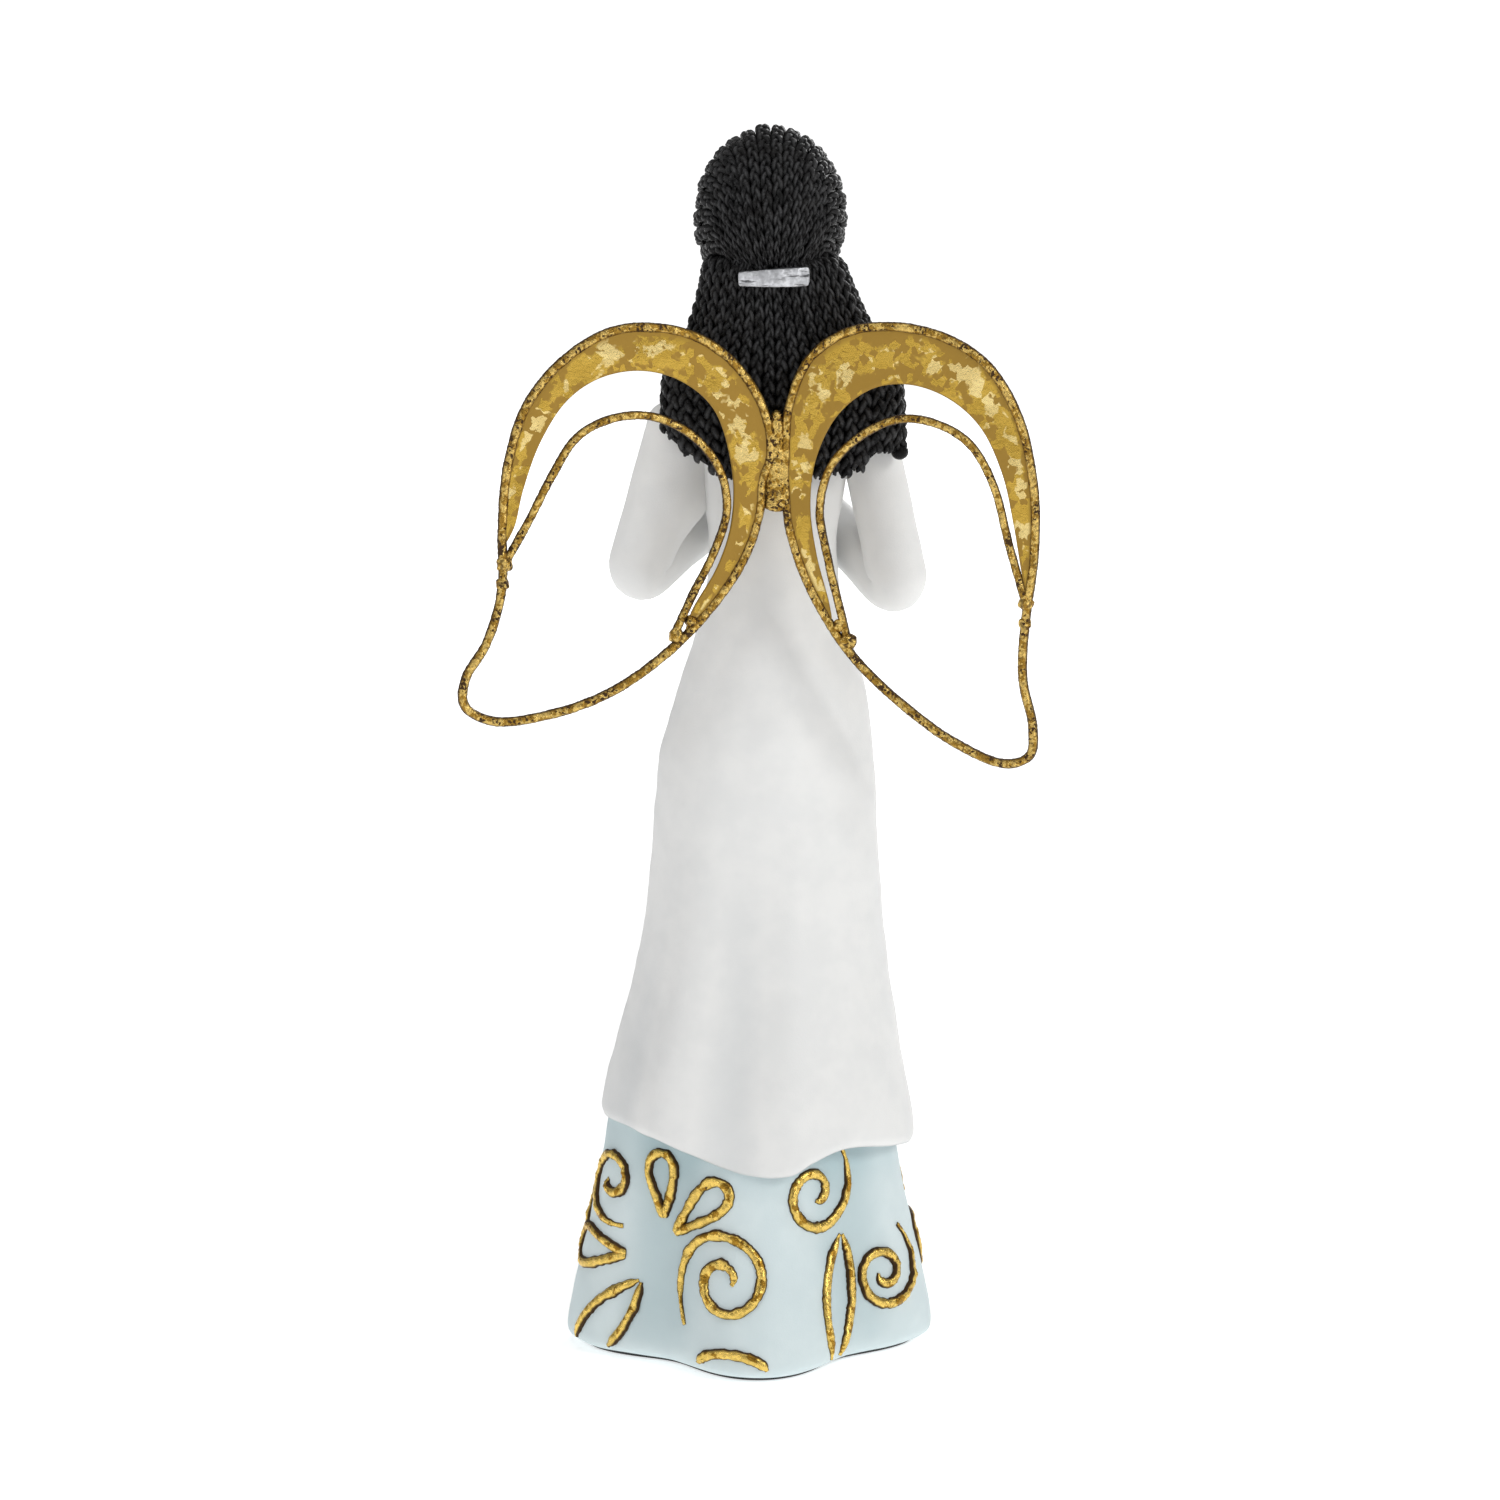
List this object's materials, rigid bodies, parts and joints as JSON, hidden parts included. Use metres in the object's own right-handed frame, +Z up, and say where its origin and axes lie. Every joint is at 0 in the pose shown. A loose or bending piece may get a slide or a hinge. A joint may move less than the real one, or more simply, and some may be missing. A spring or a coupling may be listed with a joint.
{
  "type": "angel figurine",
  "caption": "Standing resin angel with long braided hair, a white gown over a pale blue underskirt with raised gold scrolls, and open wings of bent and welded gilt wire.",
  "frame": {"origin": "on the surface that the figure stands on, at the middle of the underskirt's footprint", "axes": "+Z up; the angel faces -Y and her back, with the wings, is towards +Y; +X is towards her left hand"},
  "size_m": [0.1147, 0.0707, 0.25],
  "materials": {
    "pad": "black felt",
    "pale_blue_paint": "matte painted cast resin",
    "white_paint": "matte painted cast resin, like bisque",
    "skin_paint": "matte painted cast resin",
    "hair_paint": "satin painted cast resin",
    "silver_paint": "satin silver paint with dark streaks",
    "gilt_wire": "steel wire with gold leaf and a dark patina",
    "gilt_sheet": "steel sheet with mustard gold paint and leaf flakes",
    "steel": "plain",
    "gold_paint": "gold leaf paint with dark brown in the creases"
  },
  "bodies": {
    "root": {"foot_pad": "pad", "underskirt": "pale_blue_paint", "gown": "white_paint", "left_sleeve": "white_paint", "right_sleeve": "white_paint", "left_hand": "skin_paint", "right_hand": "skin_paint", "head": "skin_paint", "crown_hair": "hair_paint", "hair_fall": "hair_paint", "loose_braid": "hair_paint", "hair_clip": "silver_paint", "left_wing_frame": "gilt_wire", "right_wing_frame": "gilt_wire", "left_wing_arch": "gilt_wire", "right_wing_arch": "gilt_wire", "left_wing_weld_beads": "gilt_wire", "right_wing_weld_beads": "gilt_wire", "wing_spine_weld": "gilt_wire", "left_wing_crescent": "gilt_sheet", "right_wing_crescent": "gilt_sheet", "wing_stud": "steel", "scroll_spirals": "gold_paint", "scroll_teardrops": "gold_paint", "scroll_leaves": "gold_paint"}
  },
  "joints": []
}
